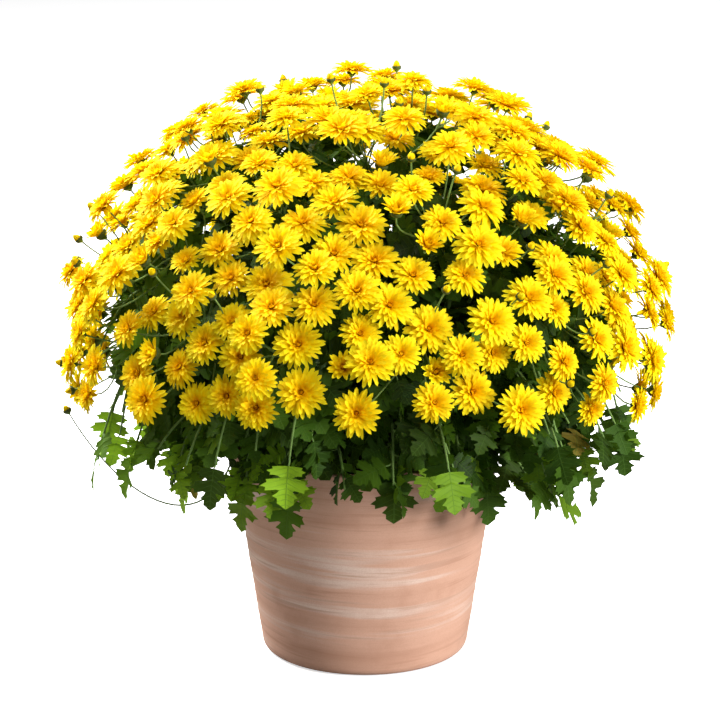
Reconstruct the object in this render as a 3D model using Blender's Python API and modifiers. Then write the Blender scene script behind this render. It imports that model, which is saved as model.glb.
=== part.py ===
"""Pot chrysanthemum: a domed, many-stemmed plant in full yellow bloom, in a plain conical clay pot.

The pot stands on z = 0 with its axis on +Z, and -Y is the side that faces the viewer. The pot is a turned
clay shell with a drain hole, filled with soil. Each leafy stem stands in its own hole in the soil, and
carries one spray: the stalks that fork from the stem's top, with their open blooms, half-open cups and buds.
"""

import math
import random

import bmesh
import bpy
import numpy as np
from mathutils import Quaternion, Vector
from mathutils.bvhtree import BVHTree

# Clay pot and soil, in metres.
POT_HEIGHT = 0.195
POT_RIM_RADIUS = 0.122
POT_BASE_RADIUS = 0.0925
POT_WALL = 0.009
POT_FLOOR = 0.012
POT_EDGE = 0.003
DRAIN_RADIUS = 0.012
POT_SEGMENTS = 30
SOIL_BELOW_RIM = 0.016
GAP = 0.0004

# The crown is the domed surface that the flowers' bases lie on.
CROWN_RADIUS = 0.250
CROWN_RISE = 0.210
CROWN_FALL = 0.150
CROWN_EQUATOR = 0.295
CROWN_LOWEST = (math.radians(91), math.radians(108))

# Stems and sprays.
STEMS = 29
ROOT_SPREAD = 0.088
ROOT_DEPTH = 0.020
STEM_RADIUS = 0.0032
NECK_RADIUS = 0.0014
AXIS_RADII = (0.0024, 0.0019)
AXIS_TURNS = 24
FORK_DEPTH = 0.074
FORK_TOP = 0.028

# Flowers: how many stand on the crown, how much closer they start near its top, the share of their width that
# they keep free there, and how wide each kind is from centre to tip.
FLOWERS = 365
CROWDING = 1.08
TOP_ROOM = 0.85
BLOOM_RADII = (0.0158, 0.0208)
CUP_RADIUS = 0.0125
BUD_RADIUS = 0.0048
CUP_SHARE = 0.07
BUD_SHARE = 0.08
BLOOM_PETALS = 4
CUP_PETALS = 3
BUD_SIDES = 3

# Leaves. The lowest stems bear side shoots too, whose leaves hang round the pot as a skirt.
LEAF_LENGTH = 0.043
LEAF_THICKNESS = 0.0016
LEAF_CLEARANCE = 0.0016
PETIOLE = 0.17
SHOOT_ANGLE = math.radians(66)

SEED = 11
GOLDEN_ANGLE = math.pi * (3 - math.sqrt(5))
UP = Vector((0, 0, 1))
SOIL_TOP = POT_HEIGHT - SOIL_BELOW_RIM

# One half of a leaf's edge, from its lowest lobe to the notch below its end lobe, as shares of its length.
# Leaves that the flowers hide have one pair of side lobes, not two.
LEAF_EDGE = [(0.35, 0.42), (0.49, 0.14), (0.71, 0.43), (0.79, 0.14)]
HIDDEN_LEAF_EDGE = [(0.48, 0.40), (0.68, 0.15)]
LEAF_RIB = 0.52
LEAF_CURL = 0.16


def on_crown(angle, azimuth, depth=0.0):
    """A point of the crown at an angle from its top, moved inwards by depth, and the crown's outward normal."""
    fall = CROWN_RISE if angle < math.pi / 2 else CROWN_FALL
    ring = Vector((math.cos(azimuth), math.sin(azimuth), 0)) * math.sin(angle)
    normal = (ring / CROWN_RADIUS + UP * (math.cos(angle) / fall)).normalized()
    point = ring * CROWN_RADIUS + UP * (CROWN_EQUATOR + fall * math.cos(angle))
    return point - normal * depth, normal


def lowest_angle(azimuth):
    """How far round from the top the flowers reach: farther down at the sides than at the front and back."""
    return CROWN_LOWEST[0] + (CROWN_LOWEST[1] - CROWN_LOWEST[0]) * math.cos(azimuth) ** 2


def crown_angles(point):
    """The angle from the top and the azimuth of the crown's point nearest a point."""
    rise = point[2] - CROWN_EQUATOR
    fall = CROWN_RISE if rise > 0 else CROWN_FALL
    angle = math.atan2(math.hypot(point[0], point[1]) / CROWN_RADIUS, rise / fall)
    azimuth = math.atan2(point[1], point[0])
    return min(angle, lowest_angle(azimuth)), azimuth


def inside_crown(point):
    """How deep a point lies below the crown, in metres, and below zero outside it."""
    rise = point[2] - CROWN_EQUATOR
    fall = CROWN_RISE if rise > 0 else CROWN_FALL
    reach = math.hypot(math.hypot(point[0], point[1]) / CROWN_RADIUS, rise / fall)
    return (1 - reach) * CROWN_RADIUS


def spiral(count, index):
    """The crown angle and azimuth of one of count points on the crown, which lie a little closer near its top."""
    azimuth = index * GOLDEN_ANGLE
    share = (1 - math.cos(lowest_angle(azimuth))) * ((index + 0.5) / count) ** CROWDING
    return math.acos(1 - share), azimuth


def settle(points, radii, lifts):
    """Moves the flowers along the crown until each has room for its petals beside its neighbours."""
    for _ in range(70):
        apart = points[:, None] - points[None]
        distance = np.linalg.norm(apart, axis=2) + np.eye(len(points))
        low = np.clip(1 - (points[:, 2] - CROWN_EQUATOR) / CROWN_RISE, 0, 1)
        width = radii * (TOP_ROOM + (1 - TOP_ROOM) * low)
        room = width[:, None] + width[None]
        room[np.abs(lifts[:, None] - lifts[None]) > 0.011] *= 0.72
        short = np.clip(room - distance, 0, None) * (1 - np.eye(len(points)))
        points = points + (apart / distance[..., None] * (short * 0.3)[..., None]).sum(axis=1)
        points = np.array([on_crown(*crown_angles(p))[0] for p in points])
    return points


def plan_flowers(rng):
    """Every flower of the plant, as its kind, foot, facing and radius."""
    kinds, radii, lifts, points = [], [], [], []
    for index in range(FLOWERS):
        draw = rng.random()
        kind = "bud" if draw < BUD_SHARE else "cup" if draw < BUD_SHARE + CUP_SHARE else "bloom"
        radius = {"bud": BUD_RADIUS, "cup": CUP_RADIUS, "bloom": rng.uniform(*BLOOM_RADII)}[kind]
        lift = rng.choice((-0.013, 0.000, 0.013)) + rng.uniform(-0.001, 0.001)
        angle, azimuth = spiral(FLOWERS, index)
        point = on_crown(angle, azimuth)[0]
        points.append([c + rng.uniform(-0.011, 0.011) for c in point])
        kinds.append(kind)
        radii.append(radius)
        lifts.append(0.019 if kind == "bud" else lift)
    points = settle(np.array(points), np.array(radii), np.array(lifts))
    flowers = []
    for kind, radius, lift, point in zip(kinds, radii, lifts, points):
        _, normal = on_crown(*crown_angles(point))
        lean = Vector([rng.uniform(-1, 1) for _ in range(3)]) * 0.16
        facing = (normal + UP * 0.14 + lean).normalized()
        flowers.append({"kind": kind, "foot": Vector(point) + normal * lift, "facing": facing, "radius": radius})
    return flowers


def bezier(a, b, c, d, t):
    s = 1 - t
    return a * s**3 + b * (3 * s * s * t) + c * (3 * s * t * t) + d * t**3


def plan_stems(flowers):
    """Shares the flowers out among the stems, and finds each stem's course from the soil to its fork."""
    centres = [on_crown(*spiral(STEMS, k))[0] for k in range(STEMS)]
    shares = [[] for _ in centres]
    for flower in flowers:
        nearest = min(range(STEMS), key=lambda k: (centres[k] - flower["foot"]).length)
        shares[nearest].append(flower)
    stems = []
    for k, share in enumerate(shares):
        middle = sum((f["foot"] for f in share), Vector()) / len(share)
        normal = on_crown(*crown_angles(middle))[1]
        fork = middle - normal * FORK_DEPTH
        share.sort(key=lambda f: (f["foot"] - middle).cross(normal).length)
        flat = Vector((middle.x, middle.y, 0)) * (ROOT_SPREAD / CROWN_RADIUS)
        root = flat + UP * SOIL_TOP
        course = [bezier(root, root + UP * 0.05, fork - normal * 0.06, fork, t) for t in (0.4, 0.75, 1.0)]
        stems.append({
            "flowers": share,
            "normal": normal,
            "path": [root - UP * ROOT_DEPTH, root + UP * 0.004, *course],
            "axis": (fork, fork + (fork - course[-2]).normalized() * (FORK_DEPTH - FORK_TOP)),
            "angle": spiral(STEMS, k)[0],
            "shoots": [],
            "leaves": [],
            "blades": [],
        })
    return stems


def along(path, share):
    """A point at a share of a path's length, and the path's direction there."""
    lengths = [(b - a).length for a, b in zip(path, path[1:])]
    left = share * sum(lengths)
    for a, b, length in zip(path, path[1:], lengths):
        if left <= length:
            return a.lerp(b, left / length), (b - a).normalized()
        left -= length
    return path[-1], (path[-1] - path[-2]).normalized()


def stalk_root(stem, rank):
    """Where a flower's stalk leaves its spray's axis: evenly spaced, the outermost flower's the lowest."""
    start, end = stem["axis"]
    return start.lerp(end, 0.97 - 0.87 * rank / max(len(stem["flowers"]) - 1, 1))


def plan_shoots(stems, rng):
    """Gives each low stem a wide side shoot and a near one, which arch out over the rim and hang round the pot.

    They hang lower beside the pot than before and behind it.
    """
    for stem in stems:
        if stem["angle"] < SHOOT_ANGLE:
            continue
        wide = (0.60, rng.uniform(0.205, 0.232), 0.020, 0.068, 0.12, 5)
        near = (0.40, rng.uniform(0.150, 0.168), 0.012, 0.054, 0.45, 4)
        for (share, reach, rise, drop, before, leaves), hand in zip((wide, near), (1, -1)):
            start, _ = along(stem["path"], share)
            out = Vector((start.x, start.y, 0)).normalized()
            out.rotate(Quaternion(UP, rng.uniform(0.08, 0.20) * hand))
            drop *= (before + (1 - before) * abs(out.x)) * rng.uniform(0.85, 1.15)
            width = reach - math.hypot(start.x, start.y)
            crest = start + out * (width * 0.55) + UP * rise
            stem["shoots"].append(([start, crest, start + out * width - UP * drop], leaves))


def leaf_points(foot, direction, face, length, half):
    """A leaf's edge from its lowest lobe round its end, in space, from one half of it as shares of its length."""
    side = face.cross(direction)
    flat = half + [(1.0, 0.0)] + [(x, -y) for x, y in reversed(half)]
    return [foot + (direction * x + side * y - face * (LEAF_CURL * x * x)) * length for x, y in flat]


def samples(stem):
    """Points along all of a stem's parts, by which a leaf knows whose room it is in."""
    lines = [stem["path"], list(stem["axis"]), *(line for line, _ in stem["shoots"])]
    lines += [[stalk_root(stem, rank), f["foot"]] for rank, f in enumerate(stem["flowers"])]
    return [along(line, share / 10)[0] for line in lines for share in range(11)]


def fits(points, own, others, beside):
    """True if a leaf with these points stays in its own stem's room, off the pot, and clear of leaves beside it."""
    for p in points:
        if p.z > CROWN_EQUATOR - 0.065 and inside_crown(p) < 0.024:
            return False
        wall = POT_BASE_RADIUS + (POT_RIM_RADIUS - POT_BASE_RADIUS) * p.z / POT_HEIGHT
        if p.z < POT_HEIGHT + 0.003 and math.hypot(p.x, p.y) < wall + 0.004:
            return False
    blade = BVHTree.FromPolygons(points, [list(range(len(points)))])
    if any(blade.overlap(other) for other in beside):
        return False
    spread = np.array(points)[:, None]
    near = np.linalg.norm(spread - own[None], axis=2).min(axis=1)
    far = np.linalg.norm(spread - others[None], axis=2).min(axis=1)
    return bool((near + LEAF_CLEARANCE < far).all())


def add_leaf(stem, foot, direction, face, half, own, others):
    """Adds a leaf to a stem, drawn in until it has room. It is left out if it would be under half its size."""
    face = (face - direction * face.dot(direction)).normalized()
    for share in (1.0, 0.9, 0.8, 0.7, 0.6, 0.5):
        length = LEAF_LENGTH * share
        edge = leaf_points(foot, direction, face, length, half)
        if fits(edge, own, others, stem["blades"]):
            stem["blades"].append(BVHTree.FromPolygons([foot, *edge], [list(range(len(edge) + 1))]))
            leaf = {"foot": foot, "direction": direction, "face": face, "length": length, "half": half}
            stem["leaves"].append(leaf)
            return True
    return False


def plan_leaves(stems, rng):
    """Sets the leaves round each stem, by the golden angle, and in two rows along its side shoots."""
    clouds = [np.array(samples(stem)) for stem in stems]
    for k, stem in enumerate(stems):
        own = clouds[k]
        others = np.concatenate(clouds[:k] + clouds[k + 1:])
        turn = rng.uniform(0, math.tau)
        count = 1 if stem["angle"] < SHOOT_ANGLE else 2
        for index in range(count):
            foot, run = along(stem["path"], 0.90 - 0.24 * index)
            across = run.orthogonal().normalized()
            for nudge in (0.0, 0.5, -0.5, 1.0):
                turned = across.copy()
                turned.rotate(Quaternion(run, turn + index * GOLDEN_ANGLE + nudge))
                direction = (turned + run * 0.45 - UP * 0.1).normalized()
                if add_leaf(stem, foot, direction, run + UP * 0.5, HIDDEN_LEAF_EDGE, own, others):
                    break
        for line, leaves in stem["shoots"]:
            for index in range(leaves):
                foot, run = along(line, 0.28 + 0.72 * index / (leaves - 1))
                out = Vector((foot.x, foot.y, 0)).normalized()
                hand = UP.cross(out) * (0.8 if index % 2 else -0.8)
                if index == leaves - 1:
                    hand *= 0
                direction = (hand + run * 0.6 - UP * 0.35).normalized()
                half = LEAF_EDGE if index else HIDDEN_LEAF_EDGE
                add_leaf(stem, foot, direction, out * 0.8 + UP * 0.5, half, own, others)


def plan_plant():
    rng = random.Random(SEED)
    stems = plan_stems(plan_flowers(rng))
    plan_shoots(stems, rng)
    plan_leaves(stems, rng)
    return stems


def material(name, colour, roughness):
    made = bpy.data.materials.new(name)
    made.use_nodes = True
    shader = made.node_tree.nodes["Principled BSDF"]
    shader.inputs["Base Color"].default_value = (*colour, 1)
    shader.inputs["Roughness"].default_value = roughness
    made.diffuse_color = (*colour, 1)
    return made


def new_object(name, mesh, collection):
    made = bpy.data.objects.new(name, mesh)
    collection.objects.link(made)
    return made


def mesh_object(name, bm, collection):
    """An object from a finished bmesh, with its faces pointing out."""
    bmesh.ops.recalc_face_normals(bm, faces=bm.faces)
    mesh = bpy.data.meshes.new(name)
    bm.to_mesh(mesh)
    bm.free()
    return new_object(name, mesh, collection)


def poly_curve(name, points, collection, cyclic=False):
    curve = bpy.data.curves.new(name, "CURVE")
    curve.dimensions = "3D"
    spline = curve.splines.new("POLY")
    spline.points.add(len(points) - 1)
    for place, point in zip(spline.points, points):
        place.co = (*point, 1)
    spline.use_cyclic_u = cyclic
    return new_object(name, curve, collection)


def tube(name, points, radii, collection, turn=0.0):
    """A three-sided tube through points, turned about its length: a filled curve made into a closed mesh."""
    corners = [(math.cos(math.tau * i / 3), math.sin(math.tau * i / 3), 0) for i in range(3)]
    section = poly_curve("section", corners, collection, cyclic=True)
    made = poly_curve(name, points, collection)
    made.data.bevel_mode = "OBJECT"
    made.data.bevel_object = section
    made.data.use_fill_caps = True
    for place, radius in zip(made.data.splines[0].points, radii):
        place.radius = radius
        place.tilt = turn
    graph = bpy.context.evaluated_depsgraph_get()
    mesh = bpy.data.meshes.new_from_object(made.evaluated_get(graph))
    bpy.data.objects.remove(made)
    bpy.data.objects.remove(section)
    bm = bmesh.new()
    bm.from_mesh(mesh)
    bmesh.ops.remove_doubles(bm, verts=bm.verts, dist=1e-5)
    bpy.data.meshes.remove(mesh)
    return mesh_object(name, bm, collection)


def bridge(bm, lower, upper):
    """Joins two rings of unlike counts, each in turn order round the same axis, with a band of triangles."""
    i = j = 0
    while i < len(lower) or j < len(upper):
        a, b = lower[i % len(lower)], upper[j % len(upper)]
        if j * len(lower) <= i * len(upper) and j < len(upper):
            j += 1
            bm.faces.new((a, upper[j % len(upper)], b))
        else:
            i += 1
            bm.faces.new((a, lower[i % len(lower)], b))


def ring(bm, centre, axis, across, radii, lifts):
    """A ring of vertices round an axis, begun on the across side, with a radius and a lift for each."""
    across = (across - axis * across.dot(axis)).normalized()
    beside = axis.cross(across)
    made = []
    for index, (radius, lift) in enumerate(zip(radii, lifts)):
        turn = math.tau * index / len(radii)
        out = across * math.cos(turn) + beside * math.sin(turn)
        made.append(bm.verts.new(centre + out * radius + axis * lift))
    return made


def grow_flower(bm, base, flower):
    """Draws one face of a spray out into a stalk and its flower: a rim of petal tips, closed at the centre.

    The rim steps between the low, wide tips of the outer petals and the raised tips of the inner ones.
    """
    middle = sum((v.co for v in base), Vector()) / 3
    foot, facing, radius = flower["foot"], flower["facing"], flower["radius"]
    run = (foot - middle).normalized()
    across = base[0].co - middle
    neck = ring(bm, foot, run, across, [NECK_RADIUS] * 3, [0] * 3)
    if flower["kind"] == "bloom":
        petals = BLOOM_PETALS
        rim = ring(bm, foot, facing, across, [radius, radius * 0.80] * petals, [0.0050, 0.0110] * petals)
        centre = 0.0080
    elif flower["kind"] == "cup":
        petals = CUP_PETALS
        rim = ring(bm, foot, facing, across, [radius, radius * 0.62] * petals, [0.0120, 0.0075] * petals)
        centre = 0.0065
    else:
        rim = ring(bm, foot, facing, across, [radius] * BUD_SIDES, [0.0040] * BUD_SIDES)
        centre = 0.0080
    top = bm.verts.new(foot + facing * centre)
    bridge(bm, base, neck)
    bridge(bm, neck, rim)
    for a, b in zip(rim, rim[1:] + rim[:1]):
        bm.faces.new((a, b, top))


def spray_mesh(stem, turn):
    """A spray as one closed surface. Its three-sided axis has a face for each stalk, on the side of its flower.

    The innermost flower's stalk goes on from the axis's end, and on each side the outermost starts the lowest.
    """
    fork, end = stem["axis"]
    run = (end - fork).normalized()
    across = run.orthogonal()
    across.rotate(Quaternion(run, turn))
    across.normalize()
    beside = run.cross(across)
    sides = [[], [], []]
    for flower in stem["flowers"][:0:-1]:
        away = flower["foot"] - fork
        azimuth = math.atan2(away.dot(beside), away.dot(across)) % math.tau
        sides[int(azimuth / (math.tau / 3)) % 3].append(flower)
    steps = max(len(side) for side in sides)
    bm = bmesh.new()
    rings = []
    for step in range(steps + 1):
        centre = (fork + run * GAP).lerp(end, step / steps)
        radius = AXIS_RADII[0] + (AXIS_RADII[1] - AXIS_RADII[0]) * step / steps
        rings.append(ring(bm, centre, run, across, [radius] * 3, [0] * 3))
    bm.faces.new(rings[0])
    grow_flower(bm, rings[-1], stem["flowers"][0])
    for place, side in enumerate(sides):
        taken = {int(index * steps / max(len(side), 1)): flower for index, flower in enumerate(side)}
        for step in range(steps):
            low, high = rings[step], rings[step + 1]
            a, b, c, d = low[place], low[(place + 1) % 3], high[(place + 1) % 3], high[place]
            bm.faces.new((a, c, d))
            if step in taken:
                grow_flower(bm, [a, b, c], taken[step])
            else:
                bm.faces.new((a, b, c))
    return bm


def crossings(bm):
    """How many pairs of a mesh's faces pass through each other, each face drawn in a little towards its middle."""
    bmesh.ops.triangulate(bm, faces=bm.faces)
    corners = []
    for face in bm.faces:
        middle = face.calc_center_median()
        corners += [middle.lerp(v.co, 0.97) for v in face.verts]
    soup = BVHTree.FromPolygons(corners, [(i, i + 1, i + 2) for i in range(0, len(corners), 3)])
    return sum(1 for a, b in soup.overlap(soup) if a < b)


def leaf_object(name, leaf, collection):
    """A lobed leaf: one thin blade, thickest along its rib, on a three-sided stalk sunk into its stem."""
    bm = bmesh.new()
    foot, direction, face, length, half = leaf.values()
    side = face.cross(direction)
    neck = foot + (direction * PETIOLE - face * (LEAF_CURL * PETIOLE**2)) * length
    rings = []
    for centre, reach in ((foot, 0.0007), (neck, 0.0013)):
        corners = (centre + side * reach, centre - face * reach, centre - side * reach)
        rings.append([bm.verts.new(p) for p in corners])
    for i in range(3):
        bm.faces.new((rings[0][i - 1], rings[0][i], rings[1][i], rings[1][i - 1]))
    bm.faces.new(rings[0])
    right, keel, left = rings[1]
    edge = [bm.verts.new(p) for p in leaf_points(foot, direction, face, length, half)]
    rib = foot + (direction * LEAF_RIB - face * (LEAF_CURL * LEAF_RIB**2)) * length
    top = bm.verts.new(rib + face * (LEAF_THICKNESS / 2))
    under = bm.verts.new(rib - face * (LEAF_THICKNESS / 2))
    outline = [right, *edge, left]
    for a, b in zip(outline, outline[1:]):
        bm.faces.new((a, b, top))
        bm.faces.new((b, a, under))
    for corners in ((left, right, top), (right, under, keel), (keel, under, left)):
        bm.faces.new(corners)
    return mesh_object(name, bm, collection)


def joined(body, repeats, fuse_itself=False):
    """Joins a collection's objects to a body by one Boolean union, and removes them."""
    union = body.modifiers.new("repeats", "BOOLEAN")
    union.operation = "UNION"
    union.operand_type = "COLLECTION"
    union.collection = repeats
    union.solver = "EXACT" if fuse_itself else "MANIFOLD"
    union.use_self = fuse_itself
    graph = bpy.context.evaluated_depsgraph_get()
    mesh = bpy.data.meshes.new_from_object(body.evaluated_get(graph))
    body.modifiers.clear()
    body.data = mesh
    for extra in list(repeats.objects):
        bpy.data.objects.remove(extra)
    bpy.data.collections.remove(repeats)
    return body


def repeats_collection():
    made = bpy.data.collections.new("repeats")
    bpy.context.scene.collection.children.link(made)
    return made


def build_pot(plant, clay):
    """The clay pot: a turned, conical shell with a drain hole, eased at its rim and foot."""
    slope = (POT_RIM_RADIUS - POT_BASE_RADIUS) / POT_HEIGHT
    inner_floor = POT_BASE_RADIUS + slope * POT_FLOOR - POT_WALL
    profile = [
        (POT_RIM_RADIUS - POT_EDGE, POT_HEIGHT),
        (POT_RIM_RADIUS, POT_HEIGHT - POT_EDGE),
        (POT_BASE_RADIUS + slope * POT_EDGE, POT_EDGE),
        (POT_BASE_RADIUS - POT_EDGE, 0),
        (DRAIN_RADIUS, 0),
        (DRAIN_RADIUS, POT_FLOOR),
        (inner_floor, POT_FLOOR),
        (POT_RIM_RADIUS - POT_WALL, POT_HEIGHT),
    ]
    bm = bmesh.new()
    corners = [bm.verts.new((r, 0, z)) for r, z in profile]
    for a, b in zip(corners, corners[1:] + corners[:1]):
        bm.edges.new((a, b))
    mesh = bpy.data.meshes.new("pot")
    bm.to_mesh(mesh)
    bm.free()
    pot = new_object("pot", mesh, plant)
    screw = pot.modifiers.new("turning", "SCREW")
    screw.steps = screw.render_steps = POT_SEGMENTS
    screw.use_merge_vertices = True
    screw.merge_threshold = 0.0001
    pot.data.materials.append(clay)
    return pot


def build_soil(plant, cutters, stems, earth):
    """The soil fills the pot, and has a plain hole for each stem."""
    slope = (POT_RIM_RADIUS - POT_BASE_RADIUS) / POT_HEIGHT
    floor = POT_FLOOR + GAP
    inner = [POT_BASE_RADIUS + slope * z - POT_WALL - 2.5 * GAP for z in (floor, SOIL_TOP)]
    bm = bmesh.new()
    bmesh.ops.create_cone(
        bm, cap_ends=True, segments=POT_SEGMENTS, radius1=inner[0], radius2=inner[1], depth=SOIL_TOP - floor
    )
    bmesh.ops.translate(bm, verts=bm.verts, vec=UP * (floor + SOIL_TOP) / 2)
    soil = mesh_object("soil", bm, plant)
    soil.data.materials.append(earth)
    for k, stem in enumerate(stems):
        foot, mouth = stem["path"][:2]
        tube(f"hole_{k:02d}", [foot - UP * GAP, mouth], [STEM_RADIUS + 2 * GAP] * 2, cutters)
    holes = soil.modifiers.new("stem holes", "BOOLEAN")
    holes.operand_type = "COLLECTION"
    holes.collection = cutters
    holes.solver = "MANIFOLD"
    return soil


def build_stem(plant, k, stem, green):
    """A leafy stem with its side shoots and leaves, from its foot in the soil to its fork."""
    name = f"stem_{k + 1:02d}"
    count = len(stem["path"])
    taper = [STEM_RADIUS * (1 - 0.25 * i / (count - 1)) for i in range(count)]
    body = tube(name, stem["path"], taper, plant)
    repeats = repeats_collection()
    for line, _ in stem["shoots"]:
        tube("shoot", line, [0.0012, 0.0022, 0.0018], repeats, turn=0.4)
    for leaf in stem["leaves"]:
        leaf_object("leaf", leaf, repeats)
    joined(body, repeats)
    body.data.materials.clear()
    body.data.materials.append(green)


def keep_largest(mesh):
    """Removes the closed slivers that the union cuts off inside a spray. True if one closed body is left."""
    bm = bmesh.new()
    bm.from_mesh(mesh)
    unseen = set(bm.faces)
    bodies = []
    while unseen:
        body = []
        waiting = [unseen.pop()]
        while waiting:
            face = waiting.pop()
            body.append(face)
            shared = [e for e in face.edges if len(e.link_faces) == 2]
            beside = {f for e in shared for f in e.link_faces} & unseen
            unseen -= beside
            waiting += beside
        bodies.append(body)
    bodies.sort(key=len)
    slivers = [face for body in bodies[:-1] for face in body]
    bmesh.ops.delete(bm, geom=slivers, context="FACES")
    closed = all(len(edge.link_faces) == 2 for edge in bm.edges)
    bm.to_mesh(mesh)
    bm.free()
    return closed


def build_spray(plant, k, stem, yellow):
    """A spray: a short axis on the stem's fork, turned so that the fewest of its stalks and flowers cross.

    Where some still cross, they are fused where they meet, by a Boolean union of the spray with its own axis.
    """
    trials = []
    for step in range(AXIS_TURNS):
        turn = math.tau / 3 * step / AXIS_TURNS
        trial = spray_mesh(stem, turn)
        trials.append((crossings(trial), turn))
        trial.free()
        if trials[-1][0] == 0:
            break
    fork, end = stem["axis"]
    for count, turn in sorted(trials):
        spray = mesh_object(f"spray_{k + 1:02d}", spray_mesh(stem, turn), plant)
        if count == 0:
            break
        repeats = repeats_collection()
        tube("core", [fork.lerp(end, 0.2), fork.lerp(end, 0.4)], [0.0006] * 2, repeats)
        joined(spray, repeats, fuse_itself=True)
        if keep_largest(spray.data):
            break
        bpy.data.objects.remove(spray)
    spray.data.materials.append(yellow)


def main():
    for old in list(bpy.data.objects):
        bpy.data.objects.remove(old)
    plant = bpy.data.collections.new("pot_chrysanthemum")
    cutters = bpy.data.collections.new("cutters")
    for collection in (plant, cutters):
        bpy.context.scene.collection.children.link(collection)
    clay = material("terracotta", (0.66, 0.36, 0.24), 0.85)
    earth = material("soil", (0.045, 0.030, 0.020), 0.95)
    green = material("leaf_green", (0.045, 0.130, 0.025), 0.55)
    yellow = material("petal_yellow", (0.93, 0.62, 0.01), 0.50)
    stems = plan_plant()
    build_pot(plant, clay)
    build_soil(plant, cutters, stems, earth)
    for k, stem in enumerate(stems):
        build_stem(plant, k, stem, green)
        build_spray(plant, k, stem, yellow)
    for cutter in cutters.objects:
        cutter.hide_render = True
        cutter.display_type = "WIRE"


main()
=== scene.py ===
"""Looks of the pot chrysanthemum: a domed plant in full yellow bloom in a plain, washed terracotta pot.

The pieces follow the solids in metres, with the pot's axis on +Z and the viewer on the -Y side. The
plant's plan is drawn again here from the same seed, so each fine leaf, stalk and flower stands where its
solid stands.
"""

import math
import random

import bmesh
import bpy
import numpy as np
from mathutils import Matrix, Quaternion, Vector, noise
from mathutils.bvhtree import BVHTree


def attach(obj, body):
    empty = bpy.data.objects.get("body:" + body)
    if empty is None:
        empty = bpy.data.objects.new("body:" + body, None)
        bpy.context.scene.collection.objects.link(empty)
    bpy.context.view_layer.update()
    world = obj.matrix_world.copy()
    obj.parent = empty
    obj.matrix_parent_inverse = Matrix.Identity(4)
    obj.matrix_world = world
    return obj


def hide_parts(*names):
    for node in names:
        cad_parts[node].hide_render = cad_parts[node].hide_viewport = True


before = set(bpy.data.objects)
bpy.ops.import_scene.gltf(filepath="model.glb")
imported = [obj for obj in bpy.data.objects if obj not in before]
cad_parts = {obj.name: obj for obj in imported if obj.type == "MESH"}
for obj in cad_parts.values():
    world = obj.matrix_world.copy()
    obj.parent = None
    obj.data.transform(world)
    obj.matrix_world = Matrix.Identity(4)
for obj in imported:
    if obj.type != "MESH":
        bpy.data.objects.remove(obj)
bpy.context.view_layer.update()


# Clay pot: one plain conical shell of unglazed terracotta with a drain hole, turned on a wheel. Its outside
# is washed with pale slip, which lies in wavy bands along the throwing lines. It stands on the floor by
# itself.
POT_HEIGHT = 0.195
POT_RIM_RADIUS = 0.122
POT_BASE_RADIUS = 0.0925
POT_WALL = 0.009
POT_FLOOR = 0.012
DRAIN_RADIUS = 0.012
POT_SEGMENTS = 144
POT_ROWS = 40
RIM_EASE = 0.0035
FOOT_EASE = 0.0060
INNER_EASE = 0.0080
DRAIN_EASE = 0.0015
CORNER_STEPS = 5
THROWING_LINES = ((0.00018, 620, 0.0), (0.00012, 1490, 1.3))
CLAY_DARK = (0.50, 0.252, 0.160, 1)
CLAY = (0.69, 0.400, 0.285, 1)
CLAY_WASH = (0.82, 0.640, 0.540, 1)


def add(tree, kind, inputs=None, **settings):
    """Adds a shader node. Each input is linked if it is given another node's output, and otherwise set."""
    made = tree.nodes.new(kind)
    for name, value in settings.items():
        setattr(made, name, value)
    for name, value in (inputs or {}).items():
        if isinstance(value, bpy.types.NodeSocket):
            tree.links.new(value, made.inputs[name])
        else:
            made.inputs[name].default_value = value
    return made


def new_material(name, **values):
    """A material with an empty Principled shader, and its tree and shader."""
    made = bpy.data.materials.new(name)
    made.use_nodes = True
    shader = made.node_tree.nodes["Principled BSDF"]
    for socket, value in values.items():
        shader.inputs[socket.replace("_", " ")].default_value = value
    return made, made.node_tree, shader


def mix_colour(tree, factor, first, second):
    """The colour between two others at a factor."""
    return add(tree, "ShaderNodeMix", {"Factor": factor, 6: first, 7: second}, data_type="RGBA").outputs[2]


def maths(tree, operation, *values):
    """The result of a Math node."""
    return add(tree, "ShaderNodeMath", dict(enumerate(values)), operation=operation).outputs[0]


def eased(tree, value, low, high, start=0.0, end=1.0):
    """A value eased from start to end as it goes from low to high."""
    inputs = {"Value": value, "From Min": low, "From Max": high, "To Min": start, "To Max": end}
    return add(tree, "ShaderNodeMapRange", inputs, interpolation_type="SMOOTHSTEP").outputs[0]


def new_mottling():
    """The mottling that several finishes share: a soft noise lays a second colour over the first."""
    tree = bpy.data.node_groups.new("mottling", "ShaderNodeTree")
    for name in ("Colour", "Mottle"):
        tree.interface.new_socket(name, in_out="INPUT", socket_type="NodeSocketColor")
    for name in ("Scale", "Detail", "Low", "High", "Strength"):
        tree.interface.new_socket(name, in_out="INPUT", socket_type="NodeSocketFloat")
    tree.interface.new_socket("Colour", in_out="OUTPUT", socket_type="NodeSocketColor")
    tree.interface.new_socket("Height", in_out="OUTPUT", socket_type="NodeSocketFloat")
    given = tree.nodes.new("NodeGroupInput").outputs
    results = tree.nodes.new("NodeGroupOutput").inputs
    place = add(tree, "ShaderNodeTexCoord").outputs["Object"]
    inputs = {"Vector": place, "Scale": given["Scale"], "Detail": given["Detail"]}
    cloud = add(tree, "ShaderNodeTexNoise", inputs).outputs["Fac"]
    share = eased(tree, cloud, given["Low"], given["High"], 0.0, given["Strength"])
    tree.links.new(mix_colour(tree, share, given["Colour"], given["Mottle"]), results["Colour"])
    tree.links.new(cloud, results["Height"])
    return tree


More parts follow.
